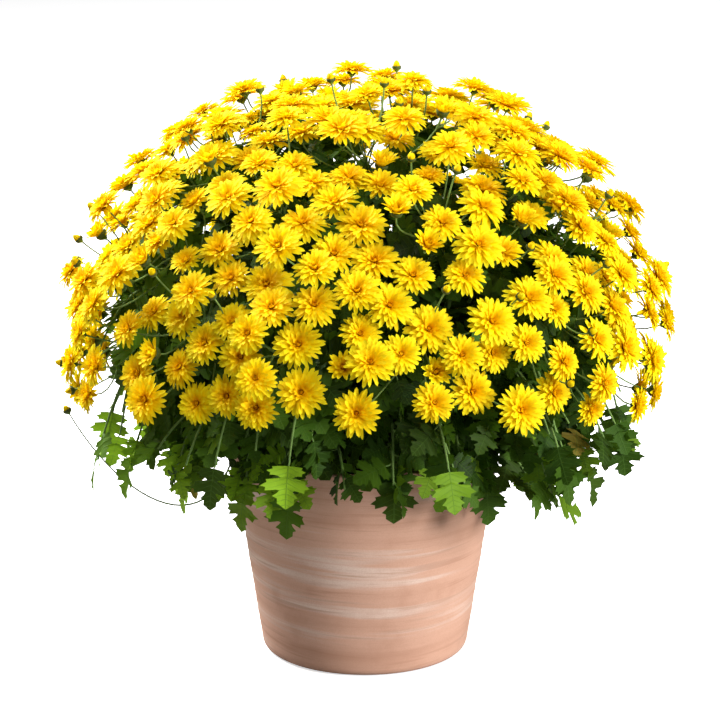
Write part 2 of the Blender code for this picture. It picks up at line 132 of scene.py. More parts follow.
def mottled(tree, colour, mottle, scale, detail, low, high, strength):
    """Lays mottling over a colour. Gives the mottled colour and the mottling's height."""
    inputs = {"Colour": colour, "Mottle": mottle, "Scale": scale, "Detail": detail}
    inputs.update({"Low": low, "High": high, "Strength": strength})
    made = add(tree, "ShaderNodeGroup", inputs, node_tree=mottling)
    return made.outputs["Colour"], made.outputs["Height"]


def drawn_round(tree, place, stretch, detail, roughness):
    """A noise drawn out into lines round the pot. The stretch says how fast it changes along each axis."""
    stretched = add(tree, "ShaderNodeMapping", {"Vector": place, "Scale": stretch}).outputs[0]
    inputs = {"Vector": stretched, "Scale": 1.0, "Detail": detail, "Roughness": roughness}
    return add(tree, "ShaderNodeTexNoise", inputs).outputs["Fac"]


def cover(tree, shader, colour, height, strength, distance, invert=False):
    """Gives a surface its colour, and fine relief from a height that changes over it."""
    inputs = {"Height": height, "Strength": strength, "Distance": distance}
    bump = add(tree, "ShaderNodeBump", inputs, invert=invert)
    tree.links.new(bump.outputs["Normal"], shader.inputs["Normal"])
    tree.links.new(colour, shader.inputs["Base Color"])


def new_object(name, data):
    """Adds an object to the scene."""
    made = bpy.data.objects.new(name, data)
    bpy.context.scene.collection.objects.link(made)
    return made


def turned(name, profile, segments):
    """A closed profile of radii and heights turned round the Z axis."""
    bm = bmesh.new()
    corners = [bm.verts.new((r, 0, z)) for r, z in profile]
    edges = [bm.edges.new(pair) for pair in zip(corners, corners[1:] + corners[:1])]
    bmesh.ops.spin(bm, geom=corners + edges, cent=(0, 0, 0), axis=(0, 0, 1), angle=math.tau,
                   steps=segments, use_merge=True)
    bmesh.ops.remove_doubles(bm, verts=bm.verts, dist=1e-6)
    bmesh.ops.recalc_face_normals(bm, faces=bm.faces)
    mesh = bpy.data.meshes.new(name)
    bm.to_mesh(mesh)
    bm.free()
    mesh.shade_smooth()
    return new_object(name, mesh)


def vectors(*values):
    """Each value as an array of numbers."""
    return [np.array(v, dtype=float) for v in values]


def curve(start, bend, end, steps):
    """Points of a curve that leaves its start towards a bend and reaches its end from there."""
    shares = np.linspace(0, 1, steps + 1)
    return [start * (1 - t) ** 2 + bend * 2 * t * (1 - t) + end * t * t for t in shares]


def eased_corner(corner, before, after, radius):
    """Points of a rounded corner in a profile."""
    corner, before, after = vectors(corner, before, after)
    start = corner + (before - corner) / np.linalg.norm(before - corner) * radius
    end = corner + (after - corner) / np.linalg.norm(after - corner) * radius
    return [tuple(point) for point in curve(start, corner, end, CORNER_STEPS)]


mottling = new_mottling()
pot_slope = (POT_RIM_RADIUS - POT_BASE_RADIUS) / POT_HEIGHT
pot_corners = [
    (POT_RIM_RADIUS, POT_HEIGHT, RIM_EASE),
    (POT_BASE_RADIUS, 0.0, FOOT_EASE),
    (DRAIN_RADIUS, 0.0, DRAIN_EASE),
    (DRAIN_RADIUS, POT_FLOOR, DRAIN_EASE),
    (POT_BASE_RADIUS + pot_slope * POT_FLOOR - POT_WALL, POT_FLOOR, INNER_EASE),
    (POT_RIM_RADIUS - POT_WALL, POT_HEIGHT, RIM_EASE),
]
pot_profile = []
for place, (radius, height, ease) in enumerate(pot_corners):
    before = pot_corners[place - 1][:2]
    after = pot_corners[(place + 1) % len(pot_corners)][:2]
    pot_profile += eased_corner((radius, height), before, after, ease)
    if place == 0:
        for step in range(1, POT_ROWS):
            z = POT_HEIGHT - RIM_EASE - (POT_HEIGHT - RIM_EASE - FOOT_EASE) * step / POT_ROWS
            ripple = sum(depth * math.sin(z * waves + shift) for depth, waves, shift in THROWING_LINES)
            pot_profile.append((POT_BASE_RADIUS + pot_slope * z + ripple, z))
clay_pot = turned("clay_pot", pot_profile, POT_SEGMENTS)

clay, tree, shader = new_material("washed_terracotta", Roughness=0.86)
place = add(tree, "ShaderNodeTexCoord").outputs["Object"]
sway = add(tree, "ShaderNodeTexNoise", {"Vector": place, "Scale": 5.0, "Detail": 1.0})
lift = add(tree, "ShaderNodeCombineXYZ", {"Z": maths(tree, "MULTIPLY", sway.outputs["Fac"], 0.014)})
swayed = add(tree, "ShaderNodeVectorMath", {0: place, 1: lift.outputs[0]}, operation="ADD").outputs[0]
bands = drawn_round(tree, swayed, (4.0, 4.0, 48.0), 2.0, 0.50)
lines = drawn_round(tree, swayed, (9.0, 9.0, 230.0), 4.0, 0.60)
wash = maths(tree, "ADD", maths(tree, "MULTIPLY", bands, 0.72), maths(tree, "MULTIPLY", lines, 0.28))
tone = mix_colour(tree, eased(tree, wash, 0.30, 0.52, 0.35, 1.0), CLAY_DARK, CLAY)
tone = mix_colour(tree, eased(tree, wash, 0.505, 0.62, 0.0, 0.85), tone, CLAY_WASH)
tone = mix_colour(tree, eased(tree, lines, 0.50, 0.68, 0.0, 0.62), tone, CLAY_DARK)
tone, _ = mottled(tree, tone, CLAY, 9.0, 3.0, 0.45, 0.75, 0.40)
tone, _ = mottled(tree, tone, CLAY_DARK, 26.0, 4.0, 0.50, 0.78, 0.45)
tone, grain = mottled(tree, tone, CLAY_DARK, 900.0, 2.0, 0.30, 0.75, 0.22)
relief = maths(tree, "ADD", maths(tree, "MULTIPLY", lines, 0.7), maths(tree, "MULTIPLY", grain, 0.3))
cover(tree, shader, tone, relief, 0.35, 0.0006)
clay_pot.data.materials.append(clay)
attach(clay_pot, "root")
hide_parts("pot")


# Soil: dark, crumbly compost that fills the pot to a little below its rim. Its top is uneven, and crumbs
# and bits of bark lie on it. The stems stand in it.
GAP = 0.0004
SOIL_TOP = POT_HEIGHT - 0.016
SOIL_RINGS = 26
SOIL_SEGMENTS = 96
SOIL_EYE = 0.0004
CRUMBS = 420
CRUMB_CORNERS = np.array([(x, y, z) for z in (-1, 1) for x, y in ((-1, -1), (1, -1), (1, 1), (-1, 1))])
CRUMB_FACES = np.array([
    (3, 2, 1, 0), (4, 5, 6, 7), (0, 1, 5, 4), (1, 2, 6, 5), (2, 3, 7, 6), (3, 0, 4, 7),
])
SOIL_DARK = (0.018, 0.011, 0.007, 1)
SOIL_LIGHT = (0.085, 0.050, 0.030, 1)


def mesh_object(name, parts, materials):
    """One smooth object from parts with points, faces, a material's place, looks and uvs."""
    faces = []
    places = []
    base = 0
    for part in parts:
        faces += (part["faces"] + base).tolist()
        places += [part["material"]] * len(part["faces"])
        base += len(part["points"])
    mesh = bpy.data.meshes.new(name)
    mesh.from_pydata(np.concatenate([part["points"] for part in parts]).tolist(), [], faces)
    look = mesh.attributes.new("look", "FLOAT_COLOR", "POINT")
    looks = np.concatenate([part["look"] for part in parts])
    look.data.foreach_set("color", np.column_stack([looks, np.ones(len(looks))]).ravel())
    corners = np.zeros(len(mesh.loops), dtype=np.int32)
    mesh.loops.foreach_get("vertex_index", corners)
    uvs = np.concatenate([part["uv"] for part in parts])
    mesh.uv_layers.new(name="UVMap").uv.foreach_set("vector", uvs[corners].ravel())
    mesh.polygons.foreach_set("material_index", places)
    mesh.shade_smooth()
    for material in materials:
        mesh.materials.append(material)
    return new_object(name, mesh)


def grid_faces(rows, columns, closed=False):
    """The four-cornered faces of a grid of points, row by row, closed round its columns if asked."""
    wide = columns if closed else columns - 1
    row, column = np.meshgrid(np.arange(rows - 1), np.arange(wide), indexing="ij")
    beside = (column + 1) % columns
    first = row * columns + column
    second = row * columns + beside
    return np.stack([first, second, second + columns, first + columns], axis=-1).reshape(-1, 4)


def part_of(points, faces, material, look=(0.5, 0.5, 0.5), uv=None):
    """A part for mesh_object, with one look for all its points unless each has its own."""
    points = np.asarray(points, dtype=float).reshape(-1, 3)
    looks = np.broadcast_to(np.asarray(look, dtype=float).reshape(-1, 3), (len(points), 3))
    uvs = np.zeros((len(points), 2)) if uv is None else np.asarray(uv, dtype=float).reshape(-1, 2)
    return {"points": points, "faces": faces, "material": material, "look": looks, "uv": uvs}


def soil_ring(radius, height):
    """The points of a level ring round the pot's axis."""
    turns = [math.tau * segment / SOIL_SEGMENTS for segment in range(SOIL_SEGMENTS)]
    return [(radius * math.cos(turn), radius * math.sin(turn), height) for turn in turns]


def look_values(tree):
    """The three values that each point's look holds."""
    look = add(tree, "ShaderNodeAttribute", attribute_name="look").outputs["Color"]
    return add(tree, "ShaderNodeSeparateColor", {"Color": look}).outputs


soil_draw = np.random.default_rng(3)
soil_outer = POT_BASE_RADIUS + pot_slope * SOIL_TOP - POT_WALL - 2.5 * GAP
soil_floor = POT_BASE_RADIUS + pot_slope * POT_FLOOR - POT_WALL - 2.5 * GAP
soil_points = soil_ring(SOIL_EYE, POT_FLOOR + GAP) + soil_ring(soil_floor, POT_FLOOR + GAP)
for ring in range(SOIL_RINGS + 1):
    for point in soil_ring(soil_outer * (1 - ring / SOIL_RINGS) + SOIL_EYE, 0):
        spot = Vector(point)
        bumps = noise.fractal(spot * 90, 0.8, 2.2, 4) * 0.0022 + noise.noise(spot * 18) * 0.003
        soil_points.append((spot.x, spot.y, SOIL_TOP - 0.002 + (bumps if ring else 0.0)))
soil_parts = [part_of(soil_points, grid_faces(SOIL_RINGS + 3, SOIL_SEGMENTS, closed=True), 0)]
for _ in range(CRUMBS):
    reach = soil_outer * math.sqrt(soil_draw.uniform(0.01, 0.93))
    turn = soil_draw.uniform(0, math.tau)
    size = soil_draw.uniform(0.0010, 0.0034)
    crumb = CRUMB_CORNERS + soil_draw.normal(size=(8, 3)) * 0.22
    crumb *= size * np.array([soil_draw.uniform(0.5, 1.5), 0.8, soil_draw.uniform(0.3, 0.8)])
    cosine, sine = math.cos(turn * 5), math.sin(turn * 5)
    crumb = crumb @ np.array([(cosine, sine, 0), (-sine, cosine, 0), (0, 0, 1)])
    crumb += (reach * math.cos(turn), reach * math.sin(turn), SOIL_TOP - 0.001)
    soil_parts.append(part_of(crumb, CRUMB_FACES, 0, (soil_draw.uniform(0, 1),) * 3))
earth, tree, shader = new_material("compost", Roughness=0.95)
look = look_values(tree)
colour = mix_colour(tree, eased(tree, look[0], 0.4, 1.0), SOIL_DARK, SOIL_LIGHT)
colour, clods = mottled(tree, colour, SOIL_LIGHT, 120.0, 5.0, 0.40, 0.80, 0.70)
cover(tree, shader, colour, clods, 0.8, 0.001)
soil = mesh_object("potting_soil", soil_parts, [earth])
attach(soil, "root")
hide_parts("soil")


# Leafy stems: 29 green stems, each rooted in the soil and forked under the crown of flowers. They bear
# lobed, toothed leaves, and the lowest ones also side shoots, whose leaves arch over the rim and hang round
# the pot.
CROWN_RADIUS = 0.250
CROWN_RISE = 0.210
CROWN_FALL = 0.150
CROWN_EQUATOR = 0.295
CROWN_LOWEST = (math.radians(91), math.radians(108))
STEMS = 29
ROOT_SPREAD = 0.088
ROOT_DEPTH = 0.020
STEM_RADIUS = 0.0032
FORK_DEPTH = 0.074
FORK_TOP = 0.028
FLOWERS = 365
CROWDING = 1.08
TOP_ROOM = 0.85
BLOOM_RADII = (0.0158, 0.0208)
CUP_RADIUS = 0.0125
BUD_RADIUS = 0.0048
CUP_SHARE = 0.07
BUD_SHARE = 0.08
LEAF_LENGTH = 0.043
LEAF_CLEARANCE = 0.0016
SHOOT_ANGLE = math.radians(66)
SEED = 11
GOLDEN_ANGLE = math.pi * (3 - math.sqrt(5))
UP = Vector((0, 0, 1))
LEAF_CURL = 0.16
SOLID_EDGE = [(0.35, 0.42), (0.49, 0.14), (0.71, 0.43), (0.79, 0.14)]
HIDDEN_SOLID_EDGE = [(0.48, 0.40), (0.68, 0.15)]


def on_crown(angle, azimuth, depth=0.0):
    """A point of the crown at an angle from its top, moved in by depth, and the crown's outward normal."""
    fall = CROWN_RISE if angle < math.pi / 2 else CROWN_FALL
    ring = Vector((math.cos(azimuth), math.sin(azimuth), 0)) * math.sin(angle)
    normal = (ring / CROWN_RADIUS + UP * (math.cos(angle) / fall)).normalized()
    point = ring * CROWN_RADIUS + UP * (CROWN_EQUATOR + fall * math.cos(angle))
    return point - normal * depth, normal


def lowest_angle(azimuth):
    """How far round from the top the flowers reach: farther at the sides than at the front and back."""
    return CROWN_LOWEST[0] + (CROWN_LOWEST[1] - CROWN_LOWEST[0]) * math.cos(azimuth) ** 2


def crown_shares(point):
    """How far out and how far up from the crown's middle a point lies, as shares of the crown's reach."""
    rise = point[2] - CROWN_EQUATOR
    return math.hypot(point[0], point[1]) / CROWN_RADIUS, rise / (CROWN_RISE if rise > 0 else CROWN_FALL)


def crown_angles(point):
    """The angle from the top and the azimuth of the crown's point nearest a point."""
    azimuth = math.atan2(point[1], point[0])
    return min(math.atan2(*crown_shares(point)), lowest_angle(azimuth)), azimuth


def inside_crown(point):
    """How deep a point lies below the crown, in metres, and below zero outside it."""
    return (1 - math.hypot(*crown_shares(point))) * CROWN_RADIUS


def spiral(count, index):
    """The crown angle and azimuth of one of count points, which lie closer near the crown's top."""
    azimuth = index * GOLDEN_ANGLE
    share = (1 - math.cos(lowest_angle(azimuth))) * ((index + 0.5) / count) ** CROWDING
    return math.acos(1 - share), azimuth


def settle(points, radii, lifts):
    """Moves the flowers along the crown until each has room for its petals beside its neighbours."""
    for _ in range(70):
        apart = points[:, None] - points[None]
        distance = np.linalg.norm(apart, axis=2) + np.eye(len(points))
        low = np.clip(1 - (points[:, 2] - CROWN_EQUATOR) / CROWN_RISE, 0, 1)
        width = radii * (TOP_ROOM + (1 - TOP_ROOM) * low)
        room = width[:, None] + width[None]
        room[np.abs(lifts[:, None] - lifts[None]) > 0.011] *= 0.72
        short = np.clip(room - distance, 0, None) * (1 - np.eye(len(points)))
        points = points + (apart / distance[..., None] * (short * 0.3)[..., None]).sum(axis=1)
        points = np.array([on_crown(*crown_angles(p))[0] for p in points])
    return points


def plan_flowers(rng):
    """Every flower of the plant, as its kind, foot, facing and radius."""
    kinds, radii, lifts, points = [], [], [], []
    for index in range(FLOWERS):
        draw = rng.random()
        kind = "bud" if draw < BUD_SHARE else "cup" if draw < BUD_SHARE + CUP_SHARE else "bloom"
        radius = {"bud": BUD_RADIUS, "cup": CUP_RADIUS, "bloom": rng.uniform(*BLOOM_RADII)}[kind]
        lift = rng.choice((-0.013, 0.000, 0.013)) + rng.uniform(-0.001, 0.001)
        angle, azimuth = spiral(FLOWERS, index)
        point = on_crown(angle, azimuth)[0]
        points.append([c + rng.uniform(-0.011, 0.011) for c in point])
        kinds.append(kind)
        radii.append(radius)
        lifts.append(0.019 if kind == "bud" else lift)
    points = settle(np.array(points), np.array(radii), np.array(lifts))
    flowers = []
    for kind, radius, lift, point in zip(kinds, radii, lifts, points):
        _, normal = on_crown(*crown_angles(point))
        lean = Vector([rng.uniform(-1, 1) for _ in range(3)]) * 0.16
        facing = (normal + UP * 0.14 + lean).normalized()
        foot = Vector(point) + normal * lift
        flowers.append({"kind": kind, "foot": foot, "facing": facing, "radius": radius})
    return flowers


def bezier(a, b, c, d, t):
    """A point of the curve that leaves a towards b and reaches d from c."""
    s = 1 - t
    return a * s**3 + b * (3 * s * s * t) + c * (3 * s * t * t) + d * t**3


def plan_stems(flowers):
    """Shares the flowers out among the stems, and finds each stem's course from the soil to its fork."""
    centres = [on_crown(*spiral(STEMS, k))[0] for k in range(STEMS)]
    shares = [[] for _ in centres]
    for flower in flowers:
        nearest = min(range(STEMS), key=lambda k: (centres[k] - flower["foot"]).length)
        shares[nearest].append(flower)
    stems = []
    for k, share in enumerate(shares):
        middle = sum((f["foot"] for f in share), Vector()) / len(share)
        normal = on_crown(*crown_angles(middle))[1]
        fork = middle - normal * FORK_DEPTH
        share.sort(key=lambda f: (f["foot"] - middle).cross(normal).length)
        flat = Vector((middle.x, middle.y, 0)) * (ROOT_SPREAD / CROWN_RADIUS)
        root = flat + UP * SOIL_TOP
        bends = (root, root + UP * 0.05, fork - normal * 0.06, fork)
        course = [bezier(*bends, t) for t in (0.4, 0.75, 1.0)]
        stems.append({
            "flowers": share,
            "normal": normal,
            "bends": bends,
            "path": [root - UP * ROOT_DEPTH, root + UP * 0.004, *course],
            "axis": (fork, fork + (fork - course[-2]).normalized() * (FORK_DEPTH - FORK_TOP)),
            "angle": spiral(STEMS, k)[0],
            "shoots": [],
            "leaves": [],
            "blades": [],
        })
    return stems


def along(path, share):
    """A point at a share of a path's length, and the path's direction there."""
    lengths = [(b - a).length for a, b in zip(path, path[1:])]
    left = share * sum(lengths)
    for a, b, length in zip(path, path[1:], lengths):
        if left <= length:
            return a.lerp(b, left / length), (b - a).normalized()
        left -= length
    return path[-1], (path[-1] - path[-2]).normalized()


def stalk_root(stem, rank):
    """Where a flower's stalk leaves its spray's axis: evenly spaced, the outermost flower's the lowest."""
    start, end = stem["axis"]
    return start.lerp(end, 0.97 - 0.87 * rank / max(len(stem["flowers"]) - 1, 1))


def outwards(point):
    """The level direction from the pot's axis to a point."""
    return Vector((point.x, point.y, 0)).normalized()


def plan_shoots(stems, rng):
    """Gives each low stem a wide side shoot and a near one, which arch over the rim and hang down."""
    for stem in stems:
        if stem["angle"] < SHOOT_ANGLE:
            continue
        wide = (0.60, rng.uniform(0.205, 0.232), 0.020, 0.068, 0.12, 5)
        near = (0.40, rng.uniform(0.150, 0.168), 0.012, 0.054, 0.45, 4)
        for (share, reach, rise, drop, before, leaves), hand in zip((wide, near), (1, -1)):
            start, _ = along(stem["path"], share)
            out = outwards(start)
            out.rotate(Quaternion(UP, rng.uniform(0.08, 0.20) * hand))
            drop *= (before + (1 - before) * abs(out.x)) * rng.uniform(0.85, 1.15)
            width = reach - math.hypot(start.x, start.y)
            crest = start + out * (width * 0.55) + UP * rise
            stem["shoots"].append(([start, crest, start + out * width - UP * drop], leaves))


def leaf_points(foot, direction, face, length, half):
    """The edge of a leaf's solid, in space, from one half of it as shares of its length."""
    side = face.cross(direction)
    flat = half + [(1.0, 0.0)] + [(x, -y) for x, y in reversed(half)]
    return [foot + (direction * x + side * y - face * (LEAF_CURL * x * x)) * length for x, y in flat]


def samples(stem):
    """Points along all of a stem's parts, by which a leaf knows whose room it is in."""
    lines = [stem["path"], list(stem["axis"]), *(line for line, _ in stem["shoots"])]
    lines += [[stalk_root(stem, rank), f["foot"]] for rank, f in enumerate(stem["flowers"])]
    return [along(line, share / 10)[0] for line in lines for share in range(11)]


def fits(points, own, others, beside):
    """True if a leaf's points stay in its stem's room, off the pot and clear of the leaves beside it."""
    for p in points:
        if p.z > CROWN_EQUATOR - 0.065 and inside_crown(p) < 0.024:
            return False
        wall = POT_BASE_RADIUS + (POT_RIM_RADIUS - POT_BASE_RADIUS) * p.z / POT_HEIGHT
        if p.z < POT_HEIGHT + 0.003 and math.hypot(p.x, p.y) < wall + 0.004:
            return False
    blade = BVHTree.FromPolygons(points, [list(range(len(points)))])
    if any(blade.overlap(other) for other in beside):
        return False
    spread = np.array(points)[:, None]
    near = np.linalg.norm(spread - own[None], axis=2).min(axis=1)
    far = np.linalg.norm(spread - others[None], axis=2).min(axis=1)
    return bool((near + LEAF_CLEARANCE < far).all())


def squared(face, direction):
    """A leaf's face, turned square to its direction."""
    return (face - direction * face.dot(direction)).normalized()


def add_leaf(stem, foot, direction, face, half, own, others):
    """Adds a leaf to a stem, smaller until it has room, or leaves it out if that is under half its size."""
    face = squared(face, direction)
    for share in (1.0, 0.9, 0.8, 0.7, 0.6, 0.5):
        length = LEAF_LENGTH * share
        edge = leaf_points(foot, direction, face, length, half)
        if fits(edge, own, others, stem["blades"]):
            stem["blades"].append(BVHTree.FromPolygons([foot, *edge], [list(range(len(edge) + 1))]))
            stem["leaves"].append({"foot": foot, "direction": direction, "face": face, "length": length})
            return True
    return False


def turned_out(run, turn):
    """A direction square to a run, turned round it by an angle."""
    across = run.orthogonal().normalized()
    across.rotate(Quaternion(run, turn))
    return across


def plan_leaves(stems, rng):
    """Sets the leaves round each stem, by the golden angle, and in two rows along its side shoots."""
    clouds = [np.array(samples(stem)) for stem in stems]
    for k, stem in enumerate(stems):
        own = clouds[k]
        others = np.concatenate(clouds[:k] + clouds[k + 1:])
        turn = rng.uniform(0, math.tau)
        count = 1 if stem["angle"] < SHOOT_ANGLE else 2
        for index in range(count):
            foot, run = along(stem["path"], 0.90 - 0.24 * index)
            for nudge in (0.0, 0.5, -0.5, 1.0):
                out = turned_out(run, turn + index * GOLDEN_ANGLE + nudge)
                direction = (out + run * 0.45 - UP * 0.1).normalized()
                if add_leaf(stem, foot, direction, run + UP * 0.5, HIDDEN_SOLID_EDGE, own, others):
                    break
        for line, leaves in stem["shoots"]:
            for index in range(leaves):
                foot, run = along(line, 0.28 + 0.72 * index / (leaves - 1))
                out = outwards(foot)
                hand = UP.cross(out) * (0.8 if index % 2 else -0.8)
                if index == leaves - 1:
                    hand *= 0
                direction = (hand + run * 0.6 - UP * 0.35).normalized()
                half = SOLID_EDGE if index else HIDDEN_SOLID_EDGE
                add_leaf(stem, foot, direction, out * 0.8 + UP * 0.5, half, own, others)


plan_draw = random.Random(SEED)
stems = plan_stems(plan_flowers(plan_draw))
plan_shoots(stems, plan_draw)
plan_leaves(stems, plan_draw)

# Half a leaf's edge from its stalk to its tip, as shares of its length along it and across it. The leaves
# inside the plant have a simpler edge.
LEAF_HALF = [
    (0.185, 0.018), (0.190, 0.090), (0.200, 0.190), (0.220, 0.300), (0.265, 0.280), (0.315, 0.385),
    (0.350, 0.310), (0.395, 0.315), (0.388, 0.225), (0.396, 0.165), (0.420, 0.125), (0.450, 0.165),
    (0.465, 0.270), (0.485, 0.385), (0.535, 0.370), (0.620, 0.480), (0.640, 0.380), (0.710, 0.375),
    (0.682, 0.265), (0.658, 0.180), (0.668, 0.128), (0.715, 0.160), (0.790, 0.245), (0.820, 0.160),
    (0.905, 0.160), (1.000, 0.000),
]
INNER_LEAF_HALF = [
    (0.190, 0.020), (0.220, 0.300), (0.315, 0.385), (0.395, 0.310), (0.420, 0.130), (0.485, 0.385),
    (0.620, 0.480), (0.710, 0.370), (0.668, 0.130), (0.790, 0.245), (0.905, 0.155), (1.000, 0.000),
]
VEIN_SLANT = 0.45
STEM_POINTS = 22
STEM_TAPER = 0.25
SHOOT_STEPS = 16
SHOOT_RADII = (0.0018, 0.0009)
RISING_LEAVES = 22
FORK_LEAVES = 12
LEAF_SPACING = 0.0115
SMALL_LEAF = 0.036
RIM_SHOOTS = 3
FEWEST_SHOOTS = 6
SIDE_SHOOTS = 7
LEFT_SHOOTS = 2
LEAF_DARK = (0.006, 0.021, 0.002, 1)
LEAF_MIDDLE = (0.044, 0.118, 0.007, 1)
# Painted light: this yellow-green stands for light shining through the low leaves; it also tints the light
# that the blades let through.
LEAF_BACKLIT_LIME = (0.300, 0.540, 0.022, 1)
LEAF_DRY = (0.420, 0.270, 0.050, 1)
LEAF_VEIN = (0.095, 0.200, 0.030, 1)
STEM_GREEN = (0.100, 0.190, 0.045, 1)
STALK_GREEN = (0.210, 0.330, 0.080, 1)
CALYX_OLIVE = (0.070, 0.095, 0.018, 1)
STALK_SKIN = 1


def flat_leaf(half, columns):
    """A leaf's blade laid flat: rows of points across it, slanted forwards from the rib like its veins."""
    half = np.array(half)
    rib = half[:, 0] - VEIN_SLANT * half[:, 1]
    for index in range(1, len(rib)):
        rib[index] = max(rib[index], rib[index - 1] + 0.008)
    rib[-1] = 0.992
    shares = np.linspace(-1, 1, columns)
    x = rib[:, None] * (1 - np.abs(shares)) + half[:, 0, None] * np.abs(shares)
    return np.stack([x, half[:, 1, None] * shares], axis=-1), grid_faces(len(half), columns)


outer_leaf = flat_leaf(LEAF_HALF, 5)
small_leaf = flat_leaf(LEAF_HALF, 3)
inner_leaf = flat_leaf(INNER_LEAF_HALF, 3)


def tube(path, radii, sides, look):
    """A round green stalk along a path of points, open at its ends, with its radius at each point."""
    path = np.array(path, dtype=float)
    runs = np.gradient(path, axis=0)
    runs /= np.linalg.norm(runs, axis=1)[:, None]
    across = np.cross(runs[0], (0.31, 0.87, 0.38))
    rings = []
    for point, run, radius in zip(path, runs, radii):
        across = across - run * across.dot(run)
        across /= np.linalg.norm(across)
        beside = np.cross(run, across)
        turns = np.arange(sides) * math.tau / sides
        rings.append(point + radius * (np.cos(turns)[:, None] * across + np.sin(turns)[:, None] * beside))
    return part_of(rings, grid_faces(len(path), sides, closed=True), STALK_SKIN, look)


def leaf_parts(draw, start, leaf, blade_material, look, form):
    """A leaf's stalk and its blade, which droops to its tip, folds up along its rib and waves."""
    leaf_flat, leaf_faces = form
    foot, direction, face = vectors(leaf["foot"], leaf["direction"], leaf["face"])
    side = np.cross(face, direction)
    x, y = leaf_flat[..., 0], leaf_flat[..., 1]
    wave = np.sin(x * draw.uniform(14, 20) + draw.uniform(0, 6.3)) * np.abs(y) * draw.uniform(0.05, 0.16)
    fold = np.abs(y) * draw.uniform(-0.05, 0.30)
    droop = LEAF_CURL * x * x + draw.uniform(-0.25, 0.25) * y * x
    height = fold + wave - droop
    flat = x[..., None] * direction + y[..., None] * side + height[..., None] * face
    points = foot + leaf["length"] * flat
    uv = np.stack([x, y + 0.5], axis=-1)
    neck = (points[0, 0] + points[0, -1]) / 2
    sag = face * leaf["length"] * 0.03
    path = [start + (neck - start) * t - sag * math.sin(math.pi * t) for t in (0, 0.5, 1)]
    thick = 0.0004 + leaf["length"] * 0.012
    return [
        part_of(points, leaf_faces, blade_material, look, uv),
        tube(path, [thick, thick, thick * 0.7], 4, (0.4, 0.5, 0.5)),
    ]


def leaf_look(draw, foot):
    """A leaf's tone, its yellow-green and how dry it is. All leaves get a little yellow-green at random; the
    low ones, most of them on the viewer's left, get much more as painted light shining through them.
    """
    low = min(max((0.245 - foot[2]) / 0.06, 0), 1)
    low *= min(max((math.hypot(foot[0], foot[1]) - 0.10) / 0.05, 0), 1)
    left = 0.90 if foot[0] < -0.02 else 0.22
    most = 1.0 if foot[0] < -0.02 else 0.6
    lime_and_backlight = draw.uniform(0.30, most) if draw.uniform() < low * left else draw.uniform(0, 0.12)
    # More painted light the farther a leaf lies to the viewer's left.
    lime_and_backlight = max(lime_and_backlight, 0.20 * min(max((-foot[0] - 0.08) / 0.12, 0), 1))
    dry = draw.uniform(0.5, 1.0) if draw.uniform() < 0.05 * low else 0.0
    return draw.uniform(0, 1), lime_and_backlight, dry


def off_pot(leaf):
    """True if a leaf's tip and middle stay outside the pot's wall, and under the flowers."""
    for share in (0.5, 1.0):
        bent = leaf["direction"] * share - leaf["face"] * (LEAF_CURL * share**2)
        tip = leaf["foot"] + bent * leaf["length"]
        if tip.z < POT_HEIGHT + 0.006 and math.hypot(tip.x, tip.y) < POT_RIM_RADIUS + 0.006:
            return False
        if inside_crown(tip) < 0.016 and tip.z > CROWN_EQUATOR - 0.075:
            return False
    return True


def added_leaf(draw, spot, direction, face, length, blade_material, form):
    """The parts of a leaf that the solids leave out, or none where pot or flowers are in its way."""
    leaf = {"foot": spot, "direction": direction, "face": squared(face, direction), "length": length}
    if not off_pot(leaf):
        return []
    return leaf_parts(draw, np.array(spot), leaf, blade_material, leaf_look(draw, spot), form)


def blade_place(tree):
    """Where a point lies on its flat blade, as X and Y."""
    flat = add(tree, "ShaderNodeUVMap", uv_map="UVMap").outputs["UV"]
    return add(tree, "ShaderNodeSeparateXYZ", {"Vector": flat}).outputs


def let_light_through(tree, shader, colour, share):
    """Makes a thin blade let a share of the light through."""
    glow = add(tree, "ShaderNodeBsdfTranslucent", {"Color": colour})
    both = add(tree, "ShaderNodeMixShader", {"Fac": share, 1: shader.outputs[0], 2: glow.outputs[0]})
    tree.links.new(both.outputs[0], tree.nodes["Material Output"].inputs["Surface"])


leaf_green, tree, shader = new_material("leaf_blade", Roughness=0.58, Specular_IOR_Level=0.16)
look = look_values(tree)
flat = blade_place(tree)
aside = maths(tree, "ABSOLUTE", maths(tree, "SUBTRACT", flat["Y"], 0.5))
slanted = maths(tree, "SUBTRACT", flat["X"], maths(tree, "MULTIPLY", aside, VEIN_SLANT))
side_veins = maths(tree, "PINGPONG", maths(tree, "SUBTRACT", slanted, 0.206), 0.05)
side_veins = eased(tree, side_veins, 0.003, 0.012, 1.0, 0.0)
side_veins = maths(tree, "MULTIPLY", side_veins, eased(tree, aside, 0.0, 0.34, 1.0, 0.25))
veins = maths(tree, "MAXIMUM", eased(tree, aside, 0.004, 0.016, 1.0, 0.0), side_veins)
colour = mix_colour(tree, eased(tree, look[0], 0.0, 1.0), LEAF_DARK, LEAF_MIDDLE)
colour, _ = mottled(tree, colour, LEAF_MIDDLE, 60.0, 3.0, 0.45, 0.75, 0.35)
# Painted light: the look's second value paints leaves yellow-green as light shining through them, a little
# at random on all, and much more on the low ones, most of them on the viewer's left.
colour = mix_colour(tree, look[1], colour, LEAF_BACKLIT_LIME)
colour = mix_colour(tree, look[2], colour, LEAF_DRY)
colour = mix_colour(tree, maths(tree, "MULTIPLY", veins, 0.42), colour, LEAF_VEIN)
cover(tree, shader, colour, veins, 0.5, 0.0005, invert=True)
let_light_through(tree, shader, mix_colour(tree, 0.18, colour, LEAF_BACKLIT_LIME), 0.32)

